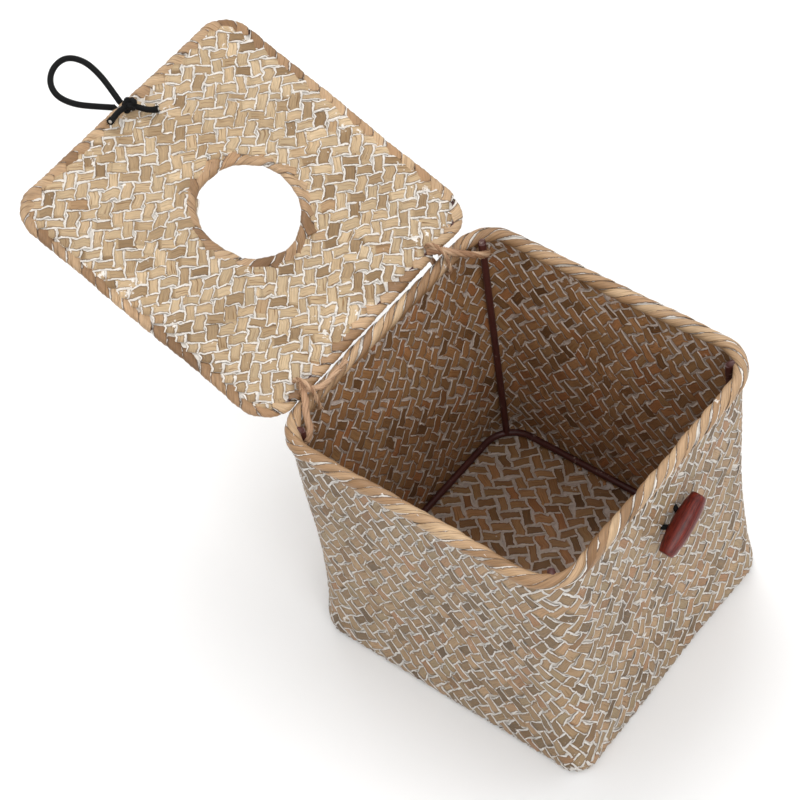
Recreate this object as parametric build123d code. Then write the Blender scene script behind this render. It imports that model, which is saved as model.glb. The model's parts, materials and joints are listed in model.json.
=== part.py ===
from build123d import *
import os
from math import cos, hypot, pi, radians, sin, sqrt, tan

# Small square lidded basket, plaited on the bias from flattened seagrass. Millimetres.
# Origin: on the underside of the base, below the middle of the mouth. +Z up, the front with
# its toggle towards -Y, the hinge towards +Y. The lid is drawn closed, then turned open.

# ---- mouth and rim ----
MOUTH_X = 160.0            # between the rim's centrelines
MOUTH_Y = 164.4
RIM_Z = 166.8              # floor to the rim's centreline
RIM_RADIUS = 4.7
RIM_CORNER = 17.7
TOUCH = 0.05               # gap between curved faces that lie on each other

# ---- walls and base: the base is a little larger than the mouth ----
BASE_LEFT, BASE_RIGHT = -79.6, 85.7
BASE_FRONT, BASE_BACK = -84.5, 88.3
WALL = 2.4
BASE_THICK = 3.0
WALL_TOP_Z = 164.2         # the plait ends in the rim's underside
CORNER_BY_HEIGHT = ((0.0, 16.0), (45.0, 19.0), (90.0, 20.0), (RIM_Z, RIM_CORNER + WALL / 2))

# ---- wire frame inside ----
WIRE_RADIUS = 1.9
WIRE_CORNER = 18.0
WIRE_GAP = 0.15
UPRIGHT_GAP = 0.45

# ---- lid: u runs across it, v out from the hinge axis, w up from the axis when closed ----
HINGE_Y, HINGE_Z = 85.3, 172.8
LID_WIDTH = 168.5
LID_NEAR, LID_FAR = 1.0, 168.5
LID_CORNER = 18.0
LID_PANEL = 3.0
LID_MIDDLE = 1.5
LID_BEAD_RADIUS = 2.5
LID_WIRE_RADIUS = 0.8
LID_TWIST = 1.11           # degrees, the lid is tied on slightly askew
LID_OPEN = 155.07          # degrees from closed to the rest pose, where the ties come taut
HOLE_U, HOLE_V = 1.8, 83.0
HOLE_RADIUS = 26.4
HOLE_BEAD_RADIUS = 2.2
HOLE_WIRE_RADIUS = 0.7

# ---- raffia hinge ties ----
TIE_LEFT_X, TIE_RIGHT_X = -55.3, 49.4
TIE_RADIUS = 1.0
TIE_AROUND_AXIS = 8.6
TIE_AROUND_RIM = 6.1
TIE_SLOT_X, TIE_SLOT_Y = 3.4, 4.4
TIE_TAIL_DROP = 8.0        # the tail meets its upright this far below the rim's centre

# ---- elastic closure loop ----
ELASTIC_RADIUS = 1.6
LOOP_W = 4.0
LOOP_ROUTE = (             # (u, v) from one end to the other
    (4.1, 170.4), (6.7, 179.2), (8.9, 188.6), (9.2, 198.6), (4.4, 206.5), (-4.8, 207.2),
    (-12.9, 202.6), (-16.4, 194.7), (-13.6, 185.6), (-7.2, 177.6), (-0.7, 170.4),
)
LOOP_GAP = 0.35            # the pivoting loop stays this far from the strands in the lid
STUB_V = 161.0             # where the strands go down through the plait
KNOT_U, KNOT_V = 2.5, 163.4
KNOT_RADIUS = 4.6
KNOT_LOW, KNOT_HIGH = -5.4, -1.05
TAIL_ENDS = ((-12.3, 163.8), (10.6, 151.7))

# ---- toggle ----
TOGGLE_X, TOGGLE_Y, TOGGLE_Z = 5.2, -92.0, 127.0
TOGGLE_TILT = 25.8         # degrees, its right end is the higher one
TOGGLE_LENGTH = 33.0
TOGGLE_RADIUS = 5.7
TOGGLE_END_RADIUS = 3.5
NUB_SPACING, NUB_LENGTH, NUB_WIDTH, NUB_REACH = 9.0, 4.0, 5.0, 7.0
CORD_RADIUS = 1.5
CORD_SOCKET = 3.5          # the cord starts this far behind the barrel's axis
CORD_RUNNING_GAP = 0.35
INNER_KNOT_RADIUS = 4.0
INNER_KNOT_NEAR, INNER_KNOT_FAR = -80.7, -76.4


# ---- shared shapes ----

def rectangle(left, right, front, back, corner, z):
    """A rounded rectangle lying at height z."""
    middle = ((left + right) / 2, (front + back) / 2, z)
    return Pos(*middle) * RectangleRounded(right - left, back - front, corner)


def ring(outline, radius, hollow=0.0):
    """A closed tube along the outline, with a bore if hollow is given."""
    path = outline.wire()
    start = Plane(origin=path @ 0, z_dir=path % 0)
    tube = sweep(start * Circle(radius), path=path)
    if hollow:
        tube -= sweep(start * Circle(hollow), path=path)
    return tube


def rod(start, end, radius):
    """A straight round bar between two points."""
    along = Vector(*end) - Vector(*start)
    return Plane(origin=start, z_dir=along) * extrude(Circle(radius), along.length)


def tube_along(path, radius):
    """A round tube along an open path."""
    return sweep(Plane(origin=path @ 0, z_dir=path % 0) * Circle(radius), path=path)


# ---- body, rim and frame ----

def walls_at(z, inset):
    """Left, right, front and back of the body at height z, moved inwards by inset."""
    share = z / RIM_Z
    half_x, half_y = MOUTH_X / 2 + WALL / 2, MOUTH_Y / 2 + WALL / 2
    return (
        BASE_LEFT + (-half_x - BASE_LEFT) * share + inset,
        BASE_RIGHT + (half_x - BASE_RIGHT) * share - inset,
        BASE_FRONT + (-half_y - BASE_FRONT) * share + inset,
        BASE_BACK + (half_y - BASE_BACK) * share - inset,
    )


def body_loft(inset, floor):
    """The body's filled shape from floor to the rim's centre."""
    stations = [(floor, CORNER_BY_HEIGHT[0][1])] + list(CORNER_BY_HEIGHT[1:])
    return loft([rectangle(*walls_at(z, inset), corner - inset, z) for z, corner in stations])


def rim_outline():
    """The rim's centreline."""
    return rectangle(-MOUTH_X / 2, MOUTH_X / 2, -MOUTH_Y / 2, MOUTH_Y / 2, RIM_CORNER, RIM_Z)


WIRE_Z = BASE_THICK + WIRE_RADIUS
WIRE_WALLS = walls_at(WIRE_Z, WALL + WIRE_RADIUS + WIRE_GAP)
CORNERS = {
    "frame_upright_front_left": (-1, -1),
    "frame_upright_front_right": (1, -1),
    "frame_upright_back_left": (-1, 1),
    "frame_upright_back_right": (1, 1),
}


def upright_ends(side_x, side_y):
    """Foot and head of the upright in one corner."""
    left, right, front, back = WIRE_WALLS
    in_corner = WIRE_CORNER * (1 - sqrt(0.5))
    foot_x = (right if side_x > 0 else left) - side_x * in_corner
    foot_y = (back if side_y > 0 else front) - side_y * in_corner
    from_corner = (RIM_CORNER - WALL / 2 - WIRE_RADIUS - UPRIGHT_GAP) * sqrt(0.5)
    head_x = side_x * (MOUTH_X / 2 - RIM_CORNER + from_corner)
    head_y = side_y * (MOUTH_Y / 2 - RIM_CORNER + from_corner)
    return (foot_x, foot_y, WIRE_Z), (head_x, head_y, RIM_Z)


def frame():
    """The wire frame: a ring in the rim, a ring round the base, and four uprights."""
    top_ring = ring(rim_outline(), WIRE_RADIUS)
    bottom_ring = ring(rectangle(*WIRE_WALLS, WIRE_CORNER, WIRE_Z), WIRE_RADIUS)
    parts = {"frame_top_ring": top_ring, "frame_bottom_ring": bottom_ring}
    for name, sides in CORNERS.items():
        parts[name] = rod(*upright_ends(*sides), WIRE_RADIUS) - top_ring - bottom_ring
    return parts


def rim_binding():
    """Strips wound over the top ring, with a notch for each upright's head."""
    binding = ring(rim_outline(), RIM_RADIUS, WIRE_RADIUS + TOUCH)
    for sides in CORNERS.values():
        foot, (head_x, head_y, head_z) = upright_ends(*sides)
        binding -= rod(foot, (head_x, head_y, head_z + TOUCH), WIRE_RADIUS + TOUCH)
    return binding


def woven_body():
    """Walls and base in one plait, open at the top, with the holes its cords go through."""
    shell = body_loft(0.0, 0.0) - body_loft(WALL, BASE_THICK)
    shell -= Pos(0, 0, WALL_TOP_Z + RIM_Z / 2) * Box(2 * MOUTH_X, 2 * MOUTH_Y, RIM_Z)
    shell -= ring(rim_outline(), RIM_RADIUS)
    cord_end = (TOGGLE_X, INNER_KNOT_FAR, TOGGLE_Z)
    shell -= rod((TOGGLE_X, TOGGLE_Y, TOGGLE_Z), cord_end, CORD_RADIUS + CORD_RUNNING_GAP)
    for x in (TIE_LEFT_X, TIE_RIGHT_X):
        shell -= tie_loop(x, TIE_RADIUS + TOUCH)
    return shell


# ---- hinge ties ----

def tie_loop(x, radius):
    """A ring of cord round the hinge axis above and under the rim below."""
    upper, lower = Vector(x, HINGE_Y, HINGE_Z), Vector(x, MOUTH_Y / 2, RIM_Z)
    apart = (upper - lower).length
    along = (upper - lower) / apart
    across = Vector(0, along.Z, -along.Y)
    lean = (TIE_AROUND_AXIS - TIE_AROUND_RIM) / apart
    outwards = [across * side * sqrt(1 - lean ** 2) - along * lean for side in (-1, 1)]
    high = [upper + direction * TIE_AROUND_AXIS for direction in outwards]
    low = [lower + direction * TIE_AROUND_RIM for direction in outwards]
    path = Wire([
        ThreePointArc(high[0], upper + along * TIE_AROUND_AXIS, high[1]).edge(),
        Line(high[1], low[1]).edge(),
        ThreePointArc(low[1], lower - along * TIE_AROUND_RIM, low[0]).edge(),
        Line(low[0], high[0]).edge(),
    ])
    return tube_along(path, radius)


def hinge_tie(x, side):
    """One tie: its ring, and the tail that runs inside the rim to the corner's upright."""
    foot, head = upright_ends(side, 1)
    start = (x, MOUTH_Y / 2 - TIE_AROUND_RIM, RIM_Z)
    end = (head[0] - side * (WIRE_RADIUS + TIE_RADIUS), head[1], RIM_Z - TIE_TAIL_DROP)
    tie = tie_loop(x, TIE_RADIUS) + rod(start, end, TIE_RADIUS)
    return tie - rod(foot, head, WIRE_RADIUS + TOUCH)


# ---- lid, drawn closed ----

def lid_plane(u, v, w):
    """The closed lid's own plane at a point: X across it, Y back to the hinge, Z up."""
    turn = radians(LID_TWIST)
    x = u * cos(turn) - v * sin(turn)
    y = HINGE_Y - (u * sin(turn) + v * cos(turn))
    return Plane(origin=(x, y, HINGE_Z + w), x_dir=(cos(turn), -sin(turn), 0), z_dir=(0, 0, 1))


def lid_point(u, v, w):
    """A point of the closed lid."""
    return lid_plane(u, v, w).origin


def lid_outline(inset, w):
    """The lid's outline, moved inwards by inset."""
    depth = LID_FAR - LID_NEAR
    shape = RectangleRounded(LID_WIDTH - 2 * inset, depth - 2 * inset, LID_CORNER - inset)
    return lid_plane(0, (LID_NEAR + LID_FAR) / 2, w) * shape


def hole_ring(radius, hollow=0.0):
    """A tube round the lid's hole."""
    outline = lid_plane(HOLE_U, HOLE_V, LID_MIDDLE) * Circle(HOLE_RADIUS + HOLE_BEAD_RADIUS)
    return ring(outline, radius, hollow)


def lid_panel(bead, room):
    """The plaited sheet between the edge's bead and the hole's bead."""
    panel = extrude(lid_outline(LID_BEAD_RADIUS, LID_MIDDLE - LID_PANEL / 2), LID_PANEL)
    hole = lid_plane(HOLE_U, HOLE_V, LID_MIDDLE - LID_PANEL) * Circle(HOLE_RADIUS + HOLE_BEAD_RADIUS)
    panel -= extrude(hole, 2 * LID_PANEL)
    return panel - bead - hole_ring(HOLE_BEAD_RADIUS) - room


def strands(radius):
    """Both ends of the elastic: back over the bead, then down through the plait to the knot."""
    start_v = LOOP_ROUTE[0][1] - ELASTIC_RADIUS - LOOP_GAP
    made = []
    for u in (LOOP_ROUTE[0][0], LOOP_ROUTE[-1][0]):
        route = [lid_point(u, start_v, LOOP_W), lid_point(u, STUB_V, LOOP_W)]
        route.append(lid_point(u, STUB_V, KNOT_HIGH - ELASTIC_RADIUS))
        path = FilletPolyline(*route, radius=2 * ELASTIC_RADIUS)
        made.append(tube_along(path, radius))
    return made[0] + made[1]


def closure_knot():
    """The knot under the lid's front edge, its two cut tails and the strands above it."""
    height = KNOT_HIGH - KNOT_LOW
    core = extrude(Circle(KNOT_RADIUS), height)
    core = fillet(core.edges().filter_by(GeomType.CIRCLE), height * 0.4)
    knot = lid_plane(KNOT_U, KNOT_V, KNOT_LOW) * core
    level = KNOT_LOW + height / 2
    for u, v in TAIL_ENDS:
        knot += rod(lid_point(KNOT_U, KNOT_V, level), lid_point(u, v, level), ELASTIC_RADIUS)
    return knot + strands(ELASTIC_RADIUS)


def lid_parts():
    """The lid's pieces."""
    edge = lid_outline(LID_BEAD_RADIUS, LID_MIDDLE)
    bead = ring(edge, LID_BEAD_RADIUS)
    room = strands(ELASTIC_RADIUS + TOUCH)
    for x in (TIE_LEFT_X, TIE_RIGHT_X):
        slot = Pos(x, HINGE_Y - TIE_AROUND_AXIS, HINGE_Z)
        room += slot * Box(TIE_SLOT_X, TIE_SLOT_Y, 4 * LID_BEAD_RADIUS)
    return {
        "lid_panel": lid_panel(bead, room),
        "lid_edge_binding": ring(edge, LID_BEAD_RADIUS, LID_WIRE_RADIUS + TOUCH) - room,
        "lid_edge_wire": ring(edge, LID_WIRE_RADIUS),
        "lid_hole_binding": hole_ring(HOLE_BEAD_RADIUS, HOLE_WIRE_RADIUS + TOUCH),
        "lid_hole_wire": hole_ring(HOLE_WIRE_RADIUS),
        "closure_knot": closure_knot(),
    }


# ---- elastic loop ----

def arc_radii(points):
    """For each inner point of a cord's route, the arc that its two runs leave room for."""
    radii = []
    for before, here, after in zip(points, points[1:], points[2:]):
        first, second = here - before, after - here
        half_turn = radians(first.get_angle(second) / 2)
        radii.append(0.45 * min(first.length, second.length) / tan(half_turn))
    return radii


def closure_loop():
    """The elastic loop that stands out of the lid's front edge."""
    points = [lid_point(u, v, LOOP_W) for u, v in LOOP_ROUTE]
    radii = arc_radii(points)
    path = FilletPolyline(*points, radius=radii)
    loop = tube_along(path, ELASTIC_RADIUS)
    print("loop: length", round(path.length, 1), "radii", [round(r, 1) for r in radii])
    print("loop: volume", round(loop.volume, 1), "of", round(path.length * pi * ELASTIC_RADIUS ** 2, 1))
    return {"closure_loop": loop}


# ---- toggle ----

def toggle_parts():
    """A turned barrel with two nubs on its back, its cord, and the knot inside the wall."""
    tilt = radians(TOGGLE_TILT)
    middle = (TOGGLE_X, TOGGLE_Y, TOGGLE_Z)
    place = Plane(origin=middle, x_dir=(cos(tilt), 0, sin(tilt)), z_dir=(0, 1, 0))
    half = TOGGLE_LENGTH / 2
    side = Spline((-half, TOGGLE_END_RADIUS), (0, TOGGLE_RADIUS), (half, TOGGLE_END_RADIUS))
    ends = Polyline((half, TOGGLE_END_RADIUS), (half, 0), (-half, 0), (-half, TOGGLE_END_RADIUS))
    barrel = revolve(make_face(side + ends), axis=Axis.X)
    for along in (-NUB_SPACING / 2, NUB_SPACING / 2):
        barrel += Pos(along, 0, NUB_REACH / 2) * Box(NUB_LENGTH, NUB_WIDTH, NUB_REACH)
    cord_start = (TOGGLE_X, TOGGLE_Y + CORD_SOCKET, TOGGLE_Z)
    cord = rod(cord_start, (TOGGLE_X, INNER_KNOT_NEAR, TOGGLE_Z), CORD_RADIUS)
    knot = extrude(Circle(INNER_KNOT_RADIUS), INNER_KNOT_FAR - INNER_KNOT_NEAR)
    knot = fillet(knot.edges().filter_by(GeomType.CIRCLE), INNER_KNOT_RADIUS * 0.4)
    facing = Plane(origin=(TOGGLE_X, INNER_KNOT_NEAR, TOGGLE_Z), z_dir=(0, 1, 0))
    return {"toggle": place * barrel - cord, "toggle_cord": cord, "toggle_knot": facing * knot}


def main():
    """Writes one STEP file for each piece."""
    hinge = Axis((0, HINGE_Y, HINGE_Z), (1, 0, 0))
    parts = {"woven_body": woven_body(), "rim_binding": rim_binding(), **frame()}
    parts["hinge_tie_left"] = hinge_tie(TIE_LEFT_X, -1)
    parts["hinge_tie_right"] = hinge_tie(TIE_RIGHT_X, 1)
    for name, shape in {**lid_parts(), **closure_loop()}.items():
        parts[name] = shape.rotate(hinge, -LID_OPEN)
    parts.update(toggle_parts())
    os.makedirs("parts", exist_ok=True)
    for name, shape in parts.items():
        export_step(shape, f"parts/{name}.step")


main()
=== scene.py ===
"""Looks for the plaited seagrass basket: real strips in a two-over-two twill, bound edges, wire
frame, elastic loop and wooden toggle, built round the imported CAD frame. Lengths are in millimetres
until a mesh is made; Blender's metres start there."""

import json
from math import cos, pi, radians, sin, sqrt

import bpy
import numpy as np
from mathutils import Matrix, Vector

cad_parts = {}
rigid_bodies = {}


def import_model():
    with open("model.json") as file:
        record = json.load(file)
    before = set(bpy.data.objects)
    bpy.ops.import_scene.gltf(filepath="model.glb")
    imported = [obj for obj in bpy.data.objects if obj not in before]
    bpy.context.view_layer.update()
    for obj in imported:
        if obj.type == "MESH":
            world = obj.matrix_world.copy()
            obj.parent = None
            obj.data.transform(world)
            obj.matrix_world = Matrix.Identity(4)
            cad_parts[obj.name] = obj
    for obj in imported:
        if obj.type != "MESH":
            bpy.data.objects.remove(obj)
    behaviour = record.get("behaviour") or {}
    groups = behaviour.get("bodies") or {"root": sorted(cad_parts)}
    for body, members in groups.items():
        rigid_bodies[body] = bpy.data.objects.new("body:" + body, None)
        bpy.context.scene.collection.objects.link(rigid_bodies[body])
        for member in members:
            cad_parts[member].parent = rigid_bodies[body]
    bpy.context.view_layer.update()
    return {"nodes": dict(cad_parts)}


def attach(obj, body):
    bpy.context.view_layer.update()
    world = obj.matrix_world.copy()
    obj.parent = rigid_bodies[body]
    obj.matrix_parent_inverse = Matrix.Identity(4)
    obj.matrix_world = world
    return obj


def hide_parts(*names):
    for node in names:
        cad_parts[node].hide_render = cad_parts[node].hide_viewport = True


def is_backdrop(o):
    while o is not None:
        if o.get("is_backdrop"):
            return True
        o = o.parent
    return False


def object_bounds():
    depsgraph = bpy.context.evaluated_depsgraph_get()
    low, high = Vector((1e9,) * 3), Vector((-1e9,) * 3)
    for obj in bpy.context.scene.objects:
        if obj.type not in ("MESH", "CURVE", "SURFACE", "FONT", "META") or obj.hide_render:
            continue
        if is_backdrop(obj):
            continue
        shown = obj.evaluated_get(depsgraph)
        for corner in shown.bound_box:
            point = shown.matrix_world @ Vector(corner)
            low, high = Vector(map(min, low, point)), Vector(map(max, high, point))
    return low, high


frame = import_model()
nodes = frame["nodes"]
MM = 0.001
rng = np.random.default_rng(20240611)

# ---- the CAD model's own dimensions ----
MOUTH_X, MOUTH_Y, RIM_Z, RIM_CORNER = 160.0, 164.4, 166.8, 17.7
BASE = (-79.6, 85.7, -84.5, 88.3)              # left, right, front, back at the floor
WALL = 2.4
CORNER_BY_HEIGHT = ((0.0, 16.0), (45.0, 19.0), (90.0, 20.0), (RIM_Z, 18.9))
HINGE_Y, HINGE_Z = 85.3, 172.8
LID_WIDTH, LID_NEAR, LID_FAR, LID_CORNER, LID_MIDDLE = 168.5, 1.0, 168.5, 18.0, 1.5
LID_BEAD, LID_TWIST, LID_OPEN = 2.5, 1.11, 155.07
HOLE_U, HOLE_V, HOLE_RADIUS, HOLE_BEAD = 1.8, 83.0, 26.4, 2.2
LOOP_W, ELASTIC = 4.0, 1.6
LOOP_ROUTE = (
    (4.1, 170.4), (6.7, 179.2), (8.9, 188.6), (9.2, 198.6), (4.4, 206.5), (-4.8, 207.2),
    (-12.9, 202.6), (-16.4, 194.7), (-13.6, 185.6), (-7.2, 177.6), (-0.7, 170.4),
)
KNOT_U, KNOT_V, KNOT_W = 2.5, 163.4, -3.2
TAIL_ENDS = ((-12.3, 163.8), (10.6, 151.7))
TOGGLE, TOGGLE_TILT, TOGGLE_LENGTH = (5.2, -92.0, 127.0), 25.8, 33.0
TOGGLE_RADIUS, TOGGLE_END, INNER_KNOT_Y = 5.7, 3.5, -78.6
WIRE, UPRIGHT_GAP = 1.9, 0.45
UPRIGHT_OUT = RIM_CORNER - WALL / 2 - WIRE - UPRIGHT_GAP    # an upright from its corner's centre
CORNER_CENTRE = MOUTH_X / 2 - RIM_CORNER, MOUTH_Y / 2 - RIM_CORNER


# ---- camera ----

def look(target, azimuth, elevation, roll, distance, lens):
    """A camera on a sphere round the target: azimuth 0 looks along +Y."""
    made = bpy.data.objects.new("camera", bpy.data.cameras.new("camera"))
    made.data.lens, made.data.sensor_width = lens, 36.0
    made.data.clip_start, made.data.clip_end = 0.05, 30.0
    turns = ((azimuth, "Z"), (90 - elevation, "X"), (roll, "Z"))
    around, over, lean = (Matrix.Rotation(radians(angle), 4, axis) for angle, axis in turns)
    away = Matrix.Translation((0, 0, distance))
    made.matrix_world = Matrix.Translation(target) @ around @ over @ lean @ away
    bpy.context.collection.objects.link(made)
    bpy.context.scene.camera = made


look(target=(0.03688, 0.11798, 0.048), azimuth=-43.4293, elevation=50.0984, roll=-10.5869,
     distance=1.31670, lens=108.12)


# ---- lid coordinates ----

def lid_points(points):
    """Points (u, v, w) of the lid, closed, taken to where the open lid rests."""
    u, v, w = np.moveaxis(np.asarray(points, float), -1, 0)
    twist, turn = radians(LID_TWIST), radians(-LID_OPEN)
    x = u * cos(twist) - v * sin(twist)
    y, z = -(u * sin(twist) + v * cos(twist)), w
    return np.stack([
        x, HINGE_Y + y * cos(turn) - z * sin(turn), HINGE_Z + y * sin(turn) + z * cos(turn),
    ], -1)


def unit(vectors):
    return vectors / np.maximum(np.linalg.norm(vectors, axis=-1, keepdims=True), 1e-9)


# ---- meshes ----

class Solid:
    """Closed quad meshes gathered into one piece, with the numbers its material reads."""

    def __init__(self):
        self.points, self.quads, self.strip, self.data, self.count = [], [], [], [], 0

    def add(self, rings, strip=(0, 0, 0), data=(0, 0, 0), closed=False):
        """rings: (rows, around, 3). strip, data: (rows, around, 3). Open rows get quad caps."""
        rows, around = rings.shape[:2]
        index = np.arange(rows * around).reshape(rows, around) + self.count
        follow = np.roll(index, -1, 0) if closed else index[1:]
        here = index if closed else index[:-1]
        sides = np.stack([here, np.roll(here, -1, 1), np.roll(follow, -1, 1), follow], -1)
        self.quads.append(sides.reshape(-1, 4))
        if not closed:
            half = around // 2
            k = np.arange(half - 1)
            for row, flip in ((index[0], True), (index[-1], False)):
                cap = np.stack([row[k], row[k + 1], row[around - 2 - k], row[around - 1 - k]], -1)
                self.quads.append(cap[:, ::-1] if flip else cap)
        self.points.append(rings.reshape(-1, 3))
        self.strip.append(np.broadcast_to(strip, rings.shape).reshape(-1, 3))
        self.data.append(np.broadcast_to(data, rings.shape).reshape(-1, 3))
        self.count += rows * around

    def slab(self, top, low, closed=True):
        """A thin sheet between two grids of points."""
        self.add(np.concatenate([top, low[:, ::-1]], 1), closed=closed)

    def build(self, name, material, body, stands_for=None):
        """The piece as a Blender object that rides on a body, its faces turned outwards."""
        co, quads = np.concatenate(self.points), np.concatenate(self.quads)
        a, b, c, d = (co[quads[:, i]] for i in range(4))
        if np.sum(np.cross(c - a, d - b) * (a + b + c + d)) < 0:
            quads = quads[:, ::-1]
        mesh = bpy.data.meshes.new(name)
        mesh.from_pydata(co * MM, [], quads)
        for key, values in (("strip", self.strip), ("data", self.data)):
            kept = mesh.attributes.new(key, "FLOAT_VECTOR", "POINT")
            kept.data.foreach_set("vector", np.concatenate(values).astype(np.float32).ravel())
        mesh.shade_smooth()
        made = bpy.data.objects.new(name, mesh)
        bpy.context.collection.objects.link(made)
        mesh.materials.append(material)
        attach(made, body)
        if stands_for:
            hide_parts(stands_for)
        return made


def eased(share):
    """0 to 1 along a share that runs from 0 to 1, flat at both ends."""
    return share * share * (3 - 2 * share)


def waves(length, reach):
    """A smooth random curve of that many samples, about -1 to 1, changing over `reach` samples."""
    knots = rng.normal(0, 0.6, max(4, int(length / reach) + 4))
    at = np.linspace(0, len(knots) - 1.001, length)
    i = at.astype(int)
    f = eased(at - i)
    return knots[i] * (1 - f) + knots[i + 1] * f


def per_point(shape, *values):
    return np.stack([np.broadcast_to(value, shape) for value in values], -1)


ACROSS = {4: (-1, -0.62, 0.62, 1), 6: (-1, -0.8, -0.3, 0.3, 0.8, 1)}    # points across a strip
CROWN, CROWN_POWER = 0.22, 2.6     # how thin a strip's edges are, and how late it thins


def ribbon(solid, surface, a, b, half, lift, thick, tone, along, bias=0.0, across=4, lean=0.0,
           curl=(0.0, 0.0)):
    """A flattened strip whose centre follows (a, b) on a surface, lifted along its normal.

    half, lift and tone may change along the strip, and half may be a pair, one for each side. The
    strip's top is crowned, lean lifts one edge over the next strip, and curl raises each edge."""
    def down(value):
        return np.broadcast_to(value, a.shape)[:, None]

    step = unit(np.stack([np.gradient(a), np.gradient(b)], -1))
    share = np.array(ACROSS[across])
    height = 1 - (1 - CROWN) * np.abs(share) ** CROWN_POWER
    first, second = half if isinstance(half, tuple) else (half, half)
    side = share * np.where(share < 0, down(first), down(second))
    point, normal = surface(a[:, None] - step[:, 1:] * side, b[:, None] + step[:, :1] * side)
    rise = down(lift) + lean * share
    rise = rise + np.where(share < 0, down(curl[0]), down(curl[1])) * share ** 2
    top = point + normal * (rise + height * thick / 2)[..., None]
    low = point + normal * (rise - height * thick / 2)[..., None]
    rings = np.concatenate([top, low[:, ::-1]], 1)
    sides = np.concatenate([share, share[::-1]])
    face = np.concatenate([np.zeros(across), np.ones(across)])
    shape = rings.shape[:2]
    solid.add(rings, per_point(shape, down(along), sides, down(tone)),
              per_point(shape, down(lift), face, down(bias)))


# ---- surfaces ----

class Loop:
    """A rounded rectangle run counterclockwise from the front's left end, by arc length."""

    def __init__(self, left, right, front, back, corner):
        self.box, self.corner = (left, right, front, back), corner
        wide, deep = right - left - 2 * corner, back - front - 2 * corner
        arc = pi / 2 * corner
        self.parts = np.array([wide, arc, deep, arc, wide, arc, deep, arc])
        self.starts = np.concatenate([[0], np.cumsum(self.parts)])
        self.length = self.starts[-1]

    def at(self, s, box=None, corner=None):
        """Point and outward normal at s, on this outline or another of the same make."""
        left, right, front, back = self.box if box is None else box
        corner = self.corner if corner is None else corner
        s = np.mod(s, self.length)
        part = np.clip(np.searchsorted(self.starts, s, side="right") - 1, 0, 7)
        share = (s - self.starts[part]) / self.parts[part]
        side, straight = part // 2, part % 2 == 0
        angle = (side - 1) * pi / 2 + np.where(straight, 0.0, share * pi / 2)
        nx, ny = np.cos(angle), np.sin(angle)
        # a straight side joins the centre of the corner before it to that of the corner after
        before = (side - 1) % 4
        x, y, from_x, from_y = (
            np.where(np.isin(which, sides), low + corner, high - corner)
            for which in (side, before) for sides, low, high in (((2, 3), left, right),
                                                                 ((0, 3), front, back))
        )
        share = np.where(straight, share, 1.0)
        x = from_x + (x - from_x) * share + corner * nx
        y = from_y + (y - from_y) * share + corner * ny
        return x, y, nx, ny


BOW_OUT, BOW_UP = (1.6, 2.0, 2.2, 0.4), (-0.9, 0.6, -0.6, 0.0)     # left, right, front, back


def mouth_shift(nx, ny):
    """How far the rim bows out of its true rectangle, and up, towards each of its sides."""
    sides = [np.maximum(n, 0) ** 2 for n in (-nx, nx, -ny, ny)]
    return tuple(sum(most * side for most, side in zip(bow, sides)) for bow in (BOW_OUT, BOW_UP))


def wall_box(z, inset):
    """Left, right, front and back of the walls at height z."""
    share = z / RIM_Z
    half_x, half_y = MOUTH_X / 2 + WALL / 2, MOUTH_Y / 2 + WALL / 2
    return (
        BASE[0] + (-half_x - BASE[0]) * share + inset, BASE[1] + (half_x - BASE[1]) * share - inset,
        BASE[2] + (-half_y - BASE[2]) * share + inset, BASE[3] + (half_y - BASE[3]) * share - inset,
    )


WALL_LOOP = Loop(*wall_box(80.0, WALL / 2), 18.8)
FOLD, FOLD_Z = 2.6, 1.5        # radius and lowest point of the fold between wall and base


def wall_bulge(lap, z, nx, ny):
    """How far the walls stand out of their flat planes."""
    ripple = 0.45 * np.sin(5 * lap + z / 37.0)
    waist = 1.5 * np.sin(pi * np.clip(z / 140, 0, 1)) ** 2
    foot = 1.2 * np.exp(-((z - 8) / 10) ** 2) * (0.6 + 0.4 * np.cos(4 * lap + 0.6))
    mouth = mouth_shift(nx, ny)[0] * np.clip(z / RIM_Z, 0, 1) ** 3
    near_corner = 5.0 * np.maximum(-nx, 0) * np.maximum(-ny, 0) * np.exp(-(z / 40) ** 2)
    return ripple - waist + foot + mouth + near_corner


def wall_surface(a, b):
    """a runs round the basket, b up its wall from the fold; below 0 it turns in under the base."""
    turn = np.clip(-b / FOLD, 0, pi / 2)
    beyond = np.maximum(-b - FOLD * pi / 2, 0)
    z = FOLD_Z + FOLD * (1 - np.sin(turn)) + np.maximum(b, 0)
    inset = WALL / 2 + FOLD * (1 - np.cos(turn)) + beyond
    heights, radii = zip(*CORNER_BY_HEIGHT)
    corner = np.interp(z, heights, radii) - inset
    x, y, nx, ny = WALL_LOOP.at(a, wall_box(z, inset), corner)
    bulge = wall_bulge(2 * pi * a / WALL_LOOP.length, z, nx, ny)
    point = np.stack([x + nx * bulge, y + ny * bulge, z], -1)
    normal = np.stack([nx * np.cos(turn), ny * np.cos(turn), -np.sin(turn)], -1)
    return point, normal


BASE_Z = 1.6


def base_surface(a, b):
    """The base's middle, seen from below."""
    point = np.stack([a, b, np.full_like(a, BASE_Z)], -1)
    return point, np.broadcast_to(np.array([0, 0, -1.0]), point.shape)


def lid_surface(a, b):
    """The lid's middle, seen from the face that shows when it is open."""
    sag = 0.5 * np.sin(a / 31.0 + 0.6) * np.sin(b / 43.0)
    point = np.stack([a, b, LID_MIDDLE + sag], -1)
    return point, np.broadcast_to(np.array([0, 0, -1.0]), point.shape)


# ---- plaiting ----

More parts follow.
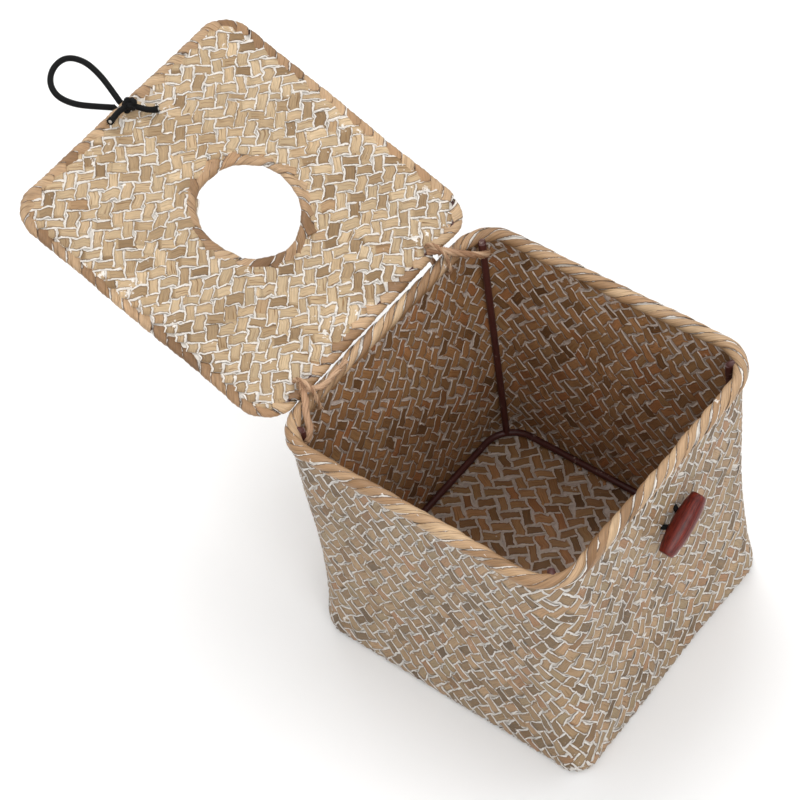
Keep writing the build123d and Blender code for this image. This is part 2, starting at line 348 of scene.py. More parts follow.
PITCH_LID, PITCH_BASE = 5.2, 5.9
STEPS_DIVE, STEPS_FLAT = (0.0, 0.3, 0.5, 0.7), (0.0, 0.5)
DIVE_FROM, DIVE_OVER = 0.14, 0.72          # the part of a pitch in which a strip changes sides
# where in the twill's four crossings a strip has room to spread over its neighbour, by family
# and rule: first towards the next strip's side, then towards the one before
SPREAD = {(0, 1): (1.1, -0.1), (0, -1): (1.1, -0.1), (1, 1): (3.1, 1.9), (1, -1): (1.9, 3.1)}
SPREAD_GAIN, SPREAD_REACH, SPREAD_CURL = 0.62, 0.62, 0.95
TONE_SPREAD = 0.7                          # how much a strip's floats differ from one another
FLOATS = 97                                # floats before a strip's own tones and widths repeat
MOST_CROSSINGS = 70                        # no flat panel reaches this far from its middle


def twill(number, t, family, rule):
    """+1 where strip `number` lies over the strip that crosses it at t, -1 where it lies under."""
    i, j = (number, t) if family == 0 else (t, number)
    over = np.mod(i + rule * j, 4) < 2
    return np.where(over if family == 0 else ~over, 1.0, -1.0)


def blend(grid, i, j):
    """A smooth value between the numbers of a square grid, which repeats beyond its edges."""
    size = len(grid)
    p, q = np.floor(i).astype(int), np.floor(j).astype(int)
    f, g = eased(i - p), eased(j - q)
    near = grid[p % size, q % size] * (1 - g) + grid[p % size, (q + 1) % size] * g
    far = grid[(p + 1) % size, q % size] * (1 - g) + grid[(p + 1) % size, (q + 1) % size] * g
    return near * (1 - f) + far * f


class Uneven:
    """How far a hand leaves the crossings off their places, in pitches, for both families."""

    def __init__(self, each, slow, repeat=80, reach=5):
        self.reach = reach
        self.each = rng.normal(0, each, (2, repeat, repeat)).clip(-2.2 * each, 2.2 * each)
        self.slow = rng.normal(0, slow, (2, repeat // reach, repeat // reach))

    def moved(self, i, j):
        """Lattice coordinates, taken to where the crossings really are."""
        slow = [blend(grid, i / self.reach, j / self.reach) for grid in self.slow]
        return tuple(at + blend(grid, i, j) + far
                     for at, grid, far in zip((i, j), self.each, slow))


def plait_line(number, first, last, family, rule, height):
    """Samples along one strip: crossing coordinate and lift."""
    t, lift = [], []
    for cell in range(int(np.floor(first)), int(np.ceil(last))):
        here, there = twill(number, cell, family, rule), twill(number, cell + 1, family, rule)
        for f in STEPS_FLAT if here == there else STEPS_DIVE:
            t.append(cell + f)
            if here == there:
                lift.append(here * (1.0 + 0.12 * sin(pi * f)))
            else:
                dive = eased(np.clip((f - DIVE_FROM) / DIVE_OVER, 0, 1))
                lift.append(here + (there - here) * dive)
    t, lift = np.array(t), np.array(lift) * height
    keep = (t >= first) & (t <= last)
    return t[keep], lift[keep]


def floats_tone(cells):
    """A tone for the whole strip, changed at every float."""
    each = rng.random(FLOATS)[cells % FLOATS]
    mixed = rng.random() * (1 - TONE_SPREAD) + each * TONE_SPREAD
    return np.clip((mixed - 0.5) * 1.15 + 0.5, 0, 0.999)


def plait(solid, surface, pitch, family, rule, numbers, span, uneven, height=0.6, thick=0.8,
          fill=(0.82, 0.98), bias=None):
    """One family of a plait. span(family, number) gives the first and last crossing of each stretch
    of a strip, and fill is how much of its pitch a strip takes up."""
    for number in numbers:
        for first, last in span(family, number):
            if last - first < 0.8:
                continue
            t, lift = plait_line(number, first, last, family, rule, height)
            if len(t) < 3:
                continue
            drift = number + 0.05 * waves(len(t), 24) + rng.normal(0, 0.03)
            i, j = uneven.moved(*((drift, t) if family == 0 else (t, drift)))
            a, b = (i - j) * pitch / sqrt(2), (i + j) * pitch / sqrt(2)
            phase = (number + rule * t) if family == 0 else (t + rule * number)
            cells = np.floor((phase + 2 * family) / 4).astype(int)
            wide = rng.uniform(*fill) + 0.035 * waves(len(t), 12)
            wide = wide * (1 + 0.07 * rng.normal(size=FLOATS).clip(-2, 1.3)[cells % FLOATS])
            if rng.random() < 0.07:
                wide = wide * rng.uniform(0.6, 0.8)
            plus, minus = (
                SPREAD_GAIN * np.exp(-((np.mod(phase - at + 1, 2) - 1) / SPREAD_REACH) ** 6)
                for at in SPREAD[family, rule]
            )
            swell = (minus, plus) if family else (plus, minus)
            curl = tuple(SPREAD_CURL * s * np.sign(lift) for s in swell)
            wide = tuple(wide * (1 + s) * pitch / 2 for s in swell)
            tone = floats_tone(cells)
            extra = 0.0 if bias is None else bias(a, b)
            ribbon(solid, surface, a, b, wide, lift, thick, tone, t * pitch, extra, curl=curl)


def plaited(names, material, body, stands_for, surface, pitch, *cloth, **shape):
    """Both families of a plait, as two pieces with the same uneven crossings."""
    for family, name in enumerate(names):
        solid = Solid()
        plait(solid, surface, pitch, family, *cloth, **shape)
        solid.build(name, material, body, None if family else stands_for)


def span_inside(inside, pitch):
    """Where a strip runs inside a flat region, as first and last crossings."""
    def span(family, number):
        t = np.arange(-MOST_CROSSINGS, MOST_CROSSINGS, 0.1)
        i, j = (number, t) if family == 0 else (t, number)
        hit = inside((i - j) * pitch / sqrt(2), (i + j) * pitch / sqrt(2)).astype(int)
        edges = np.diff(np.concatenate([[0], hit, [0]]))
        starts, stops = np.flatnonzero(edges > 0), np.flatnonzero(edges < 0)
        return [(t[p], t[q - 1]) for p, q in zip(starts, stops)]
    return span


def in_rounded(a, b, left, right, front, back, corner):
    """Whether points lie in a rounded rectangle."""
    qx = np.abs(a - (left + right) / 2) - (right - left) / 2 + corner
    qy = np.abs(b - (front + back) / 2) - (back - front) / 2 + corner
    outside = np.hypot(np.maximum(qx, 0), np.maximum(qy, 0))
    return outside + np.minimum(np.maximum(qx, qy), 0) < corner


# ---- materials ----

class Graph:
    """A material's node tree, built from short calls."""

    def __init__(self, name):
        self.material = bpy.data.materials.new(name)
        self.material.use_nodes = True
        self.tree = self.material.node_tree
        self.tree.nodes.clear()
        self.shader = self.tree.nodes.new("ShaderNodeBsdfPrincipled")
        self.node("OutputMaterial", {0: self.shader.outputs[0]})
        self.place = self.node("TexCoord").outputs["Object"]

    def put(self, socket, value):
        if isinstance(value, bpy.types.NodeSocket):
            self.tree.links.new(value, socket)
        elif isinstance(value, (tuple, list)) and len(value) == 3 and socket.type == "RGBA":
            socket.default_value = (*value, 1.0)
        else:
            socket.default_value = value

    def node(self, kind, inputs=(), **settings):
        made = self.tree.nodes.new("ShaderNode" + kind)
        for key, value in settings.items():
            setattr(made, key, value)
        for key, value in dict(inputs).items():
            self.put(made.inputs[key], value)
        return made

    def set(self, **values):
        for key, value in values.items():
            self.put(self.shader.inputs[key.replace("_", " ")], value)

    def math(self, operation, a, b=0.0, c=0.0, clamp=False):
        made = self.node("Math", {0: a, 1: b, 2: c}, operation=operation, use_clamp=clamp)
        return made.outputs[0]

    def plus(self, a, b):
        return self.math("ADD", a, b)

    def times(self, a, b):
        return self.math("MULTIPLY", a, b)

    def line(self, value, slope, start, clamp=False):
        return self.math("MULTIPLY_ADD", value, slope, start, clamp)

    def ramp(self, value, low, high):
        """0 at low, 1 at high, smoothly."""
        made = self.node("MapRange", {"Value": value, "From Min": low, "From Max": high},
                         interpolation_type="SMOOTHSTEP")
        return made.outputs["Result"]

    def colours(self, value, stops):
        made = self.node("ValToRGB", {"Fac": value})
        band = made.color_ramp
        while len(band.elements) < len(stops):
            band.elements.new(0.5)
        for element, (at, colour) in zip(band.elements, stops):
            element.position, element.color = at, (*linear(colour), 1.0)
        return made.outputs["Color"]

    def mix(self, share, a, b, blend="MIX"):
        made = self.node("Mix", {0: share, 6: a, 7: b}, data_type="RGBA", blend_type=blend)
        return made.outputs[2]

    def noise(self, scale, detail=2.0, roughness=0.5, at=None):
        """A noise over the object's own coordinates, or over a place given instead."""
        made = self.node("TexNoise", {"Vector": self.place if at is None else at, "Scale": scale,
                                      "Detail": detail, "Roughness": roughness})
        return made.outputs["Fac"]

    def parts(self, attribute):
        """The three numbers that a mesh keeps at each point under that name."""
        vector = self.node("Attribute", attribute_name=attribute).outputs["Vector"]
        return list(self.node("SeparateXYZ", {0: vector}).outputs)

    def joined(self, x, y, z):
        return self.node("CombineXYZ", {0: x, 1: y, 2: z}).outputs[0]

    def scaled(self, parts, by):
        """A place for a texture, its three parts stretched apart."""
        return self.joined(*(self.times(part, share) for part, share in zip(parts, by)))

    def shaded(self, colour, shade):
        return self.mix(1.0, colour, self.joined(shade, shade, shade), "MULTIPLY")

    def bump(self, height, strength, distance):
        made = self.node("Bump", {"Height": height, "Strength": strength, "Distance": distance})
        self.put(self.shader.inputs["Normal"], made.outputs[0])


def linear(colour):
    """An 0-255 screen colour as the renderer's linear one."""
    return tuple(
        c / 12.92 if c <= 0.04045 else ((c + 0.055) / 1.055) ** 2.4
        for c in (v / 255 for v in colour)
    )


FIBRE_SCALE, STREAK_SCALE = (0.10, 5.0, 61.0), (0.035, 1.6, 23.0)       # along, across, by tone
# dark streaks that the grass has, and the colour of the painted shade along the strips' edges
STREAK_COLOUR, EDGE_SHADE_COLOUR = (126, 96, 62), (72, 50, 34)


def straw(name, tones, paint, edge, low, blotch, inside_shade=None, gloss=0.52, dark=0.5):
    """Flattened grass: tone by float, fibres along the strip, limewash left in the low places.

    edge is the share of the half width where the wash starts, low the height under which it
    lies, blotch how rare its spots are, inner the painted shade and warm bounce light on the face
    inside the basket, and dark how deep the painted shade along the strips' edges is."""
    g = Graph(name)
    strip, (lift, face, bias) = g.parts("strip"), g.parts("data")
    _, across, tone = strip
    fibre_at = g.scaled(strip, FIBRE_SCALE)
    fibre = g.noise(1.6, 4.0, 0.62, fibre_at)
    streak = g.noise(2.3, at=g.scaled(strip, STREAK_SCALE))
    patch = g.noise(95.0, 3.0, 0.55)
    ragged = g.noise(420.0, 3.0, 0.6)
    wide = g.noise(17.0)

    # the bare strip, with a painted shade along its edges
    colour = g.mix(g.ramp(streak, 0.56, 0.74), g.colours(tone, tones), linear(STREAK_COLOUR))
    colour = g.shaded(colour, g.line(fibre, 1.3, 0.34))
    warm = g.line(wide, 0.5, 0.76)
    colour = g.mix(1.0, colour, g.joined(warm, warm, g.times(warm, 0.98)), "MULTIPLY")
    rough_edge = g.plus(g.line(patch, 0.6, -0.55),
                        g.times(ragged, 0.5))
    moved = g.plus(rough_edge, g.times(bias, 0.20))
    bent = g.plus(g.math("ABSOLUTE", across), moved)
    # painted shade: a dark brown line along each strip's edge, beside the wash, where shade between
    # the strips falls
    outline = g.times(g.ramp(bent, edge - 0.24, edge - 0.02), dark)
    colour = g.mix(outline, colour, linear(EDGE_SHADE_COLOUR))

    # the limewash on it
    on_edge = g.ramp(bent, edge - 0.04, edge + 0.07)
    outer = g.line(face, -2.0, 1.0)
    depth = g.plus(g.times(lift, outer), g.times(rough_edge, -0.5))
    in_low = g.math("SUBTRACT", 1.0, g.ramp(depth, low - 0.12, low + 0.10))
    spots = g.plus(g.noise(130.0, 4.0, 0.7), g.times(bias, 0.16))
    thick = g.ramp(spots, blotch, blotch + 0.05)
    wash = g.math("MAXIMUM", g.math("MAXIMUM", on_edge, in_low), thick)
    worn = g.line(g.noise(3.1, at=fibre_at), 1.2, 0.25, clamp=True)
    wash = g.times(wash, worn)
    painted = g.mix(patch, linear(paint[0]), linear(paint[1]))

    # painted shade and warm bounce light on the face inside the basket, on strip and wash alike
    if inside_shade is not None:
        colour = g.mix(face, colour, g.mix(1.0, colour, inside_shade, "MULTIPLY"))
        painted = g.mix(face, painted, g.mix(1.0, painted, linear(paint[2]), "MULTIPLY"))
    g.set(Base_Color=g.mix(wash, colour, painted), Specular_IOR_Level=0.35)
    g.set(Roughness=g.line(wash, 0.25, gloss))
    g.bump(g.plus(fibre, g.times(wash, 0.25)), 0.7, 0.0005)
    return g.material


def core(name, paint):
    """The limewash and straw dust that fills the plait between its strips."""
    g = Graph(name)
    grain = g.noise(420.0, 4.0, 0.6)
    stain = g.noise(60.0, 3.0, 0.6)
    colour = g.mix(g.ramp(stain, 0.45, 0.75), linear(paint[0]), linear(paint[1]))
    g.set(Base_Color=g.shaded(colour, g.line(grain, 0.5, 0.72)))
    g.set(Roughness=g.line(grain, 0.2, 0.75))
    g.bump(grain, 0.5, 0.0004)
    return g.material


LID_TONES = (
    (0.0, (130, 104, 73)), (0.16, (150, 124, 92)), (0.32, (171, 145, 112)), (0.5, (186, 160, 127)),
    (0.68, (172, 149, 118)), (0.85, (198, 173, 140)), (1.0, (158, 125, 90)),
)
WALL_TONES = (
    (0.0, (96, 76, 53)), (0.16, (118, 97, 71)), (0.32, (139, 114, 85)), (0.47, (152, 124, 92)),
    (0.62, (140, 121, 92)), (0.76, (163, 134, 102)), (0.88, (152, 114, 82)), (1.0, (120, 94, 66)),
)
RIM_TONES = (
    (0.0, (122, 90, 61)), (0.25, (154, 121, 89)), (0.6, (176, 144, 112)), (0.85, (190, 161, 128)),
    (1.0, (160, 124, 91)),
)
# limewash: where it is thick, where it is thin, and the painted shade it takes inside the basket
WASH = ((234, 231, 226), (206, 201, 194), (240, 229, 222))
LID_WASH = ((248, 245, 240), (222, 214, 204), (255, 255, 255))
# painted shade and warm bounce light for the strips' face inside the basket
INSIDE_SHADE = (1.08, 0.84, 0.65)
# dark sets how deep the painted shade along the strips' edges is
straw_lid = straw("straw_lid", LID_TONES, LID_WASH, 0.80, 0.10, 0.68, dark=0.6)
straw_wall = straw("straw_wall", WALL_TONES, WASH, 0.765, 0.20, 0.66, inside_shade=INSIDE_SHADE, dark=0.6)
straw_base = straw("straw_base", WALL_TONES, WASH, 0.66, 0.24, 0.66, inside_shade=INSIDE_SHADE)
straw_rim = straw("straw_rim", RIM_TONES, LID_WASH, 0.99, -9.0, 0.76, gloss=0.40, dark=0.85)
wash_core = core("limewash_core", ((206, 200, 192), (172, 160, 146)))
# the limewash between the strips inside the basket, darker and warmer: painted shade and warm bounce
# light
wash_shaded_inside = core("limewash_inside_shaded", ((205, 190, 181), (172, 150, 136)))


# ---- walls and base ----

AROUND = 80
PITCH_WALL = WALL_LOOP.length / (AROUND * sqrt(2))
WALL_FOOT, WALL_HEAD = -6.3, 162.0
CORNERS_AT = WALL_LOOP.starts[[1, 3, 5, 7]] + WALL_LOOP.parts[1] / 2


def wall_bias(a, b):
    """More limewash in the corners, along the foot and under the rim."""
    away = np.abs(np.mod(a[..., None] - CORNERS_AT + WALL_LOOP.length / 2, WALL_LOOP.length)
                  - WALL_LOOP.length / 2).min(-1)
    corner = np.exp(-(away / 13) ** 2)
    foot, head = np.exp(-(b / 24) ** 2), np.exp(-((WALL_HEAD - b) / 15) ** 2)
    return 0.45 * corner * foot + 0.12 * foot + 0.6 * head


def wall_span(_, number):
    low, high = WALL_FOOT * sqrt(2) / PITCH_WALL, WALL_HEAD * sqrt(2) / PITCH_WALL
    return [(low - number, high - number)]


def in_base(a, b):
    return in_rounded(a, b, *wall_box(0.0, 4.4), 12.0)


plaited(("wall_strips_rising", "wall_strips_falling"), straw_wall, "root", "woven_body",
        wall_surface, PITCH_WALL, 1, range(AROUND), wall_span, Uneven(0.10, 0.20), bias=wall_bias)
plaited(("base_strips_a", "base_strips_b"), straw_base, "root", None, base_surface, PITCH_BASE, 1,
        range(-45, 46), span_inside(in_base, PITCH_BASE), Uneven(0.11, 0.16), height=0.45,
        thick=0.7, fill=(0.78, 0.94))

# the core between the walls' strips, in two sheets: their distances from the walls' middle; the
# inside sheet's limewash carries painted shade
CORES = (("wall_core", wash_core, 0.14, 0.02), ("wall_core_inside", wash_shaded_inside, -0.02, -0.14))
wall_grid = np.meshgrid(np.linspace(0, WALL_LOOP.length, 401)[:-1],
                        np.linspace(WALL_FOOT + 1.5, WALL_HEAD, 60), indexing="ij")
point, normal = wall_surface(*wall_grid)
for name, material, top, low in CORES:
    solid = Solid()
    solid.slab(point + normal * top, point + normal * low)
    solid.build(name, material, "root")


def plate(solid, left, right, front, back, corner, z, half):
    """A thin rounded plate, in slices along x."""
    angle = np.linspace(0, pi / 2, 9)
    x = np.concatenate([left + corner * (1 - np.cos(angle)),
                        right - corner * (1 - np.cos(angle[::-1]))])
    deep = corner * (1 - np.sin(np.concatenate([angle, angle[::-1]])))
    y = (front + deep)[:, None] + (back - front - 2 * deep)[:, None] * np.linspace(0, 1, 12)
    flat = per_point(y.shape, x[:, None], y, z)
    up = np.array([0, 0, half])
    solid.slab(flat + up, flat - up, closed=False)


# the base's core, in the limewash that carries the painted shade of the basket's inside
solid = Solid()
plate(solid, *wall_box(0.0, 2.2), 13.0, BASE_Z, 0.1)
solid.build("base_core", wash_shaded_inside, "root")


# ---- rim ----

RIM_LOOP = Loop(-MOUTH_X / 2, MOUTH_X / 2, -MOUTH_Y / 2, MOUTH_Y / 2, RIM_CORNER)
RIM_TUBE, RIM_CORE = 3.35, 2.95
WRAPS, STARTS = 17, 4      # turns round the rim's tube along the mouth, and strips side by side
WRAP_FROM, WRAP_TO = -2.25, 4.75           # where on the tube's section a strip starts and ends


def rim_surface(a, b, tube=RIM_TUBE):
    """a runs round the mouth, b round the rim's own section from its outer side."""
    x, y, nx, ny = RIM_LOOP.at(a)
    angle = b / RIM_TUBE
    lap = 2 * pi * a / RIM_LOOP.length
    swell = tube * (1 + 0.06 * np.sin(11 * lap) * np.sin(4 * lap + 1))
    away, up = mouth_shift(nx, ny)
    out, high = away + swell * np.cos(angle), up + swell * np.sin(angle)
    sway = 0.4 * np.sin(5 * lap + 0.4)
    point = np.stack([x + nx * out, y + ny * out, RIM_Z + high + sway], -1)
    return point, np.stack([nx * np.cos(angle), ny * np.cos(angle), np.sin(angle)], -1)


def rim_tube(name, tube, material, stands_for=None):
    """A plain tube inside the rim, which follows its bow."""
    grid = np.meshgrid(np.linspace(0, RIM_LOOP.length, 301)[:-1],
                       np.linspace(0, 2 * pi, 17)[:-1] * RIM_TUBE, indexing="ij")
    solid = Solid()
    solid.add(rim_surface(*grid, tube)[0], closed=True)
    solid.build(name, material, "root", stands_for)


solid = Solid()
per_turn = RIM_LOOP.length / WRAPS
slope = RIM_TUBE * 2 * pi / per_turn
narrow = per_turn * slope / sqrt(1 + slope ** 2) / STARTS
angle = np.linspace(WRAP_FROM, WRAP_TO, 40)
for number in range(WRAPS * STARTS):
    start = number * per_turn / STARTS + rng.normal(0, 0.7)
    a = start + angle / (2 * pi) * per_turn * rng.uniform(0.93, 1.07) + 0.35 * waves(40, 9)
    half = narrow * rng.uniform(0.48, 0.64) * (1 + 0.08 * waves(40, 10))
    half = half * np.interp(angle, (WRAP_FROM, -1.6, 4.1, WRAP_TO), (0.55, 1, 1, 0.55))
    lift = 0.10 * waves(40, 12) + rng.uniform(-0.15, 0.2)
    lift = lift + np.interp(angle, (WRAP_FROM, -1.7, 4.1, WRAP_TO), (-0.5, 0, 0, -0.5))
    ribbon(solid, rim_surface, a, angle * RIM_TUBE, half, lift, 0.95, rng.random(),
           angle * RIM_TUBE + number * 41, 0.25 + 0.7 * waves(40, 10), across=6, lean=0.32,
           curl=(-0.40, -0.26))
solid.build("rim_wraps", straw_rim, "root", "rim_binding")
rim_tube("rim_core", RIM_CORE, wash_core)


# ---- lid ----

LID_LOOP = Loop(-LID_WIDTH / 2 + LID_BEAD, LID_WIDTH / 2 - LID_BEAD, LID_NEAR + LID_BEAD,
                LID_FAR - LID_BEAD, LID_CORNER - LID_BEAD)
LID_INSET = 1.6
LID_EDGE = (-LID_WIDTH / 2 + LID_INSET, LID_WIDTH / 2 - LID_INSET, LID_NEAR + LID_INSET,
            LID_FAR - LID_INSET)


def on_lid(surface):
    """A surface given in the closed lid's coordinates, taken to where the lid rests."""
    def turned(a, b):
        point, normal = surface(a, b)
        there = lid_points(point)
        return there, lid_points(point + normal) - there
    return turned


def in_lid(a, b):
    left, right, near, far = LID_EDGE
    inside = in_rounded(a, b, left + 2, right - 2, near + 2, far - 2, LID_CORNER - 3.6)
    return inside & (np.hypot(a - HOLE_U, b - HOLE_V) > HOLE_RADIUS + 3.4)


def lid_bias(a, b):
    """More limewash towards the lid's edges and round its hole."""
    edge = np.minimum(np.minimum(a - LID_EDGE[0], LID_EDGE[1] - a),
                      np.minimum(b - LID_EDGE[2], LID_EDGE[3] - b))
    hole = np.hypot(a - HOLE_U, b - HOLE_V) - HOLE_RADIUS
    return 0.5 * np.exp(-(edge / 18) ** 2) + 0.3 * np.exp(-(hole / 12) ** 2)


plaited(("lid_strips_a", "lid_strips_b"), straw_lid, "lid", "lid_panel", on_lid(lid_surface),
        PITCH_LID, -1, range(-60, 61), span_inside(in_lid, PITCH_LID), Uneven(0.09, 0.22),
        bias=lid_bias, fill=(0.86, 1.0))

# the core between the lid's strips, from just outside its hole to its edge
turn = np.linspace(0, 2 * pi, 241)[:-1]
far = np.full(turn.shape, 60.0)
for _ in range(700):
    a, b = HOLE_U + far * np.cos(turn), HOLE_V + far * np.sin(turn)
    far = far + np.where(in_rounded(a, b, *LID_EDGE, LID_CORNER - LID_INSET), 0.1, 0.0)
reach = (HOLE_RADIUS + 2) + (far - HOLE_RADIUS - 2)[:, None] * np.linspace(0, 1, 30)
point, normal = on_lid(lid_surface)(HOLE_U + reach * np.cos(turn)[:, None],
                                    HOLE_V + reach * np.sin(turn)[:, None])
solid = Solid()
solid.slab(point + normal * 0.1, point - normal * 0.1)
solid.build("lid_core", wash_core, "lid")


def fold(loop, radius, flat, tuck):
    """A surface that comes along the panel, goes round an edge's wire and back on the far side.

    radius is that of the bend, and tuck the height to which it falls within flat of it."""
    def surface(a, b):
        x, y, nx, ny = loop(a)
        bend = np.clip(b / radius, -pi / 2, pi / 2)
        beyond = np.maximum(np.abs(b) - radius * pi / 2, 0)
        sag = eased(np.clip(beyond / flat, 0, 1))
        out = radius * np.cos(bend) - beyond
        high = radius * np.sin(bend) * (1 - (1 - tuck / radius) * sag)
        point = np.stack([x + nx * out, y + ny * out, LID_MIDDLE + high], -1)
        return point, np.stack([nx * np.cos(bend), ny * np.cos(bend), np.sin(bend)], -1)
    return surface


def wound(solid, surface, length, *, count, lean, samples, reach, ragged, astray, skew, sway,
          breadth, rise, flutter, wash, grain, over):
    """Strips folded over an edge, side by side along its length, each moving on by lean for a
    step round it. ragged, astray, skew, sway, breadth, rise and flutter say how unlike they are:
    in reach, place, slant, straightness, width, height and evenness."""
    spacing = length / count
    for number in range(count):
        start = number * spacing + rng.normal(0, astray)
        b = np.linspace(-reach - rng.uniform(*ragged), reach + rng.uniform(*ragged), samples)
        a = start + b * lean * rng.uniform(*skew) + sway * waves(samples, 8)
        half = spacing / sqrt(1 + lean ** 2) * rng.uniform(*breadth)
        lift = rng.uniform(*rise) + flutter * waves(samples, 8)
        ribbon(solid, surface, a, b, half, lift, 0.7, rng.random(), b + number * grain,
               wash[0] + wash[1] * waves(samples, 8), across=6, lean=over, curl=(-0.25, -0.2))


def lid_edge_line(s):
    """The lid's edge, which bows at the far side and by one corner."""
    x, y, nx, ny = LID_LOOP.at(s)
    sway = 0.4 * np.sin(s / 19.0) * np.sin(s / 31.0 + 2) + 1.5 * np.clip(-ny, 0, 1) ** 4
    sway = sway + 1.2 * np.exp(-((s - LID_LOOP.starts[1] - 6) / 9) ** 2)
    return x + nx * sway, y + ny * sway, nx, ny


def hole_line(s):
    """The edge of the lid's hole, not quite round."""
    angle = s / (HOLE_RADIUS + HOLE_BEAD)
    radius = HOLE_RADIUS + HOLE_BEAD + 0.5 * np.sin(3 * angle + 1) + 0.3 * np.sin(7 * angle)
    x, y = HOLE_U + radius * np.cos(angle), HOLE_V + radius * np.sin(angle)
    return x, y, -np.cos(angle), -np.sin(angle)


solid = Solid()
wound(solid, on_lid(fold(lid_edge_line, 1.95, 3.4, 0.35)), LID_LOOP.length,
      count=68, lean=0.85, samples=26, reach=7.0, ragged=(-0.6, 1.2), astray=0.6, skew=(0.8, 1.2),
      sway=0.3, breadth=(0.46, 0.62), rise=(-0.1, 0.25), flutter=0.08, wash=(0.2, 0.6), grain=37,
      over=0.2)
solid.build("lid_edge_wraps", straw_rim, "lid", "lid_edge_binding")
solid = Solid()
wound(solid, on_lid(fold(hole_line, 1.75, 3.6, 0.3)), 2 * pi * (HOLE_RADIUS + HOLE_BEAD),
      count=21, lean=1.25, samples=30, reach=7.4, ragged=(-0.8, 1.6), astray=0.9, skew=(0.75, 1.15),
      sway=0.4, breadth=(0.50, 0.70), rise=(-0.1, 0.3), flutter=0.1, wash=(0.1, 0.5), grain=43,
      over=0.22)
solid.build("hole_wraps", straw_rim, "lid", "lid_hole_binding")


# ---- cords: tubes along points ----

def run_of(line):
    """The distance along a line to each of its points."""
    return np.concatenate([[0], np.cumsum(np.linalg.norm(np.diff(line, axis=0), axis=1))])


def resampled(line, count=None, step=0.5):
    """The same line with evenly spaced points: that many, or one at about each step."""
    run = run_of(line)
    at = np.linspace(0, run[-1], count or max(8, int(run[-1] / step)))
    return np.stack([np.interp(at, run, line[:, k]) for k in range(3)], 1)


def smooth_path(points, count):
    """Points of a NURBS line through the room that the given ones leave, evenly spaced."""
    curve = bpy.data.curves.new("path", "CURVE")
    curve.dimensions, curve.resolution_u = "3D", 24
    spline = curve.splines.new("NURBS")
    spline.points.add(len(points) - 1)
    for kept, point in zip(spline.points, points):
        kept.co = (*point, 1.0)
    spline.order_u, spline.use_endpoint_u = 3, True
    holder = bpy.data.objects.new("path", curve)
    mesh = bpy.data.meshes.new_from_object(holder)
    line = np.array([v.co for v in mesh.vertices], float)
    bpy.data.batch_remove([holder, curve, mesh])
    return resampled(line, count)


def frames(line):
    """Two directions across a line, carried along it without twisting."""
    ahead = unit(np.gradient(line, axis=0))
    first = np.cross(ahead[0], (0.0, 0.0, 1.0))
    if np.linalg.norm(first) < 0.1:
        first = np.cross(ahead[0], (1.0, 0.0, 0.0))
    side = [first / np.linalg.norm(first)]
    for direction in ahead[1:]:
        kept = side[-1] - direction * (side[-1] @ direction)
        side.append(kept / np.linalg.norm(kept))
    side = np.array(side)
    return side, np.cross(ahead, side)


def tube(solid, line, radius, tone=0.5, around=16, ends=True):
    """A round cord along the line; its ends are rounded off a little."""
    side, other = frames(line)
    run = run_of(line)
    thick = np.broadcast_to(radius, run.shape)
    if ends:
        from_end = np.minimum(run, run[-1] - run) + 0.15 * radius
        short = np.clip(1 - from_end / (0.6 * np.mean(thick)), 0, 1)
        thick = thick * np.sqrt(np.clip(1 - short ** 2, 0.02, 1))
    angle = np.linspace(0, 2 * pi, around + 1)[:-1]
    out = np.cos(angle)[:, None] * side[:, None] + np.sin(angle)[:, None] * other[:, None]
    rings = line[:, None] + thick[:, None, None] * out
    shape = rings.shape[:2]
    solid.add(rings, per_point(shape, run[:, None], np.cos(angle), tone),
              per_point(shape, angle, 0.0, 0.0))


def twisted(solid, line, radius, strands, per_turn, fuzz=0):
    """A raffia cord: strands laid round each other, with a few stray fibres."""
    line = resampled(line)
    side, other = frames(line)
    run = run_of(line)
    for number in range(strands):
        angle = 2 * pi * (run / per_turn + number / strands)
        off = radius * 0.5 * (np.cos(angle)[:, None] * side + np.sin(angle)[:, None] * other)
        tube(solid, line + off, radius * rng.uniform(0.52, 0.62), rng.random(), 8)
    for _ in range(fuzz):
        at = rng.integers(4, len(line) - 5)
        lean = unit(rng.normal(size=3)) * rng.uniform(1.5, 3.5)
        stray = np.stack([line[at] + lean * f + (line[at + 3] - line[at]) * f * 2
                          for f in np.linspace(0, 1, 6)])
        tube(solid, stray, 0.16, rng.random(), 6)


def trefoil(size, twist, spin=0.0):
    """A closed trefoil: its two directions in the knot's plane, and its rise out of it."""
    turn = np.linspace(0, 2 * pi, 121)
    return (size * (np.sin(turn + spin) + twist * np.sin(2 * turn)),
            size * (np.cos(turn + spin) - twist * np.cos(2 * turn)), 0.7 * np.sin(3 * turn))


def elastic(name):
    """Woven rubber cord: two crossing sets of fine threads round a dark core."""
    g = Graph(name)
    along, _, tone = g.parts("strip")
    angle = g.parts("data")[0]
    threads = g.math("MAXIMUM", *(
        g.math("SINE", g.line(along, 7.4, g.times(angle, times)))
        for times in (6.0, -6.0)
    ))
    lint = g.noise(900.0, 3.0, 0.6)
    shade = g.line(threads, 0.25, g.line(lint, 0.5, 0.5))
    base = g.mix(g.ramp(lint, 0.5, 0.85), linear((4, 4, 5)), linear((22, 22, 24)))
    colour = g.shaded(base, shade)
    fresh = g.ramp(g.plus(tone, g.times(lint, 0.1)), 0.93, 0.97)
    g.set(Base_Color=g.mix(fresh, colour, linear((196, 190, 182))))
    g.set(Roughness=g.line(lint, 0.25, 0.55), Specular_IOR_Level=0.22)
    g.bump(g.plus(threads, lint), 0.6, 0.0002)
    return g.material


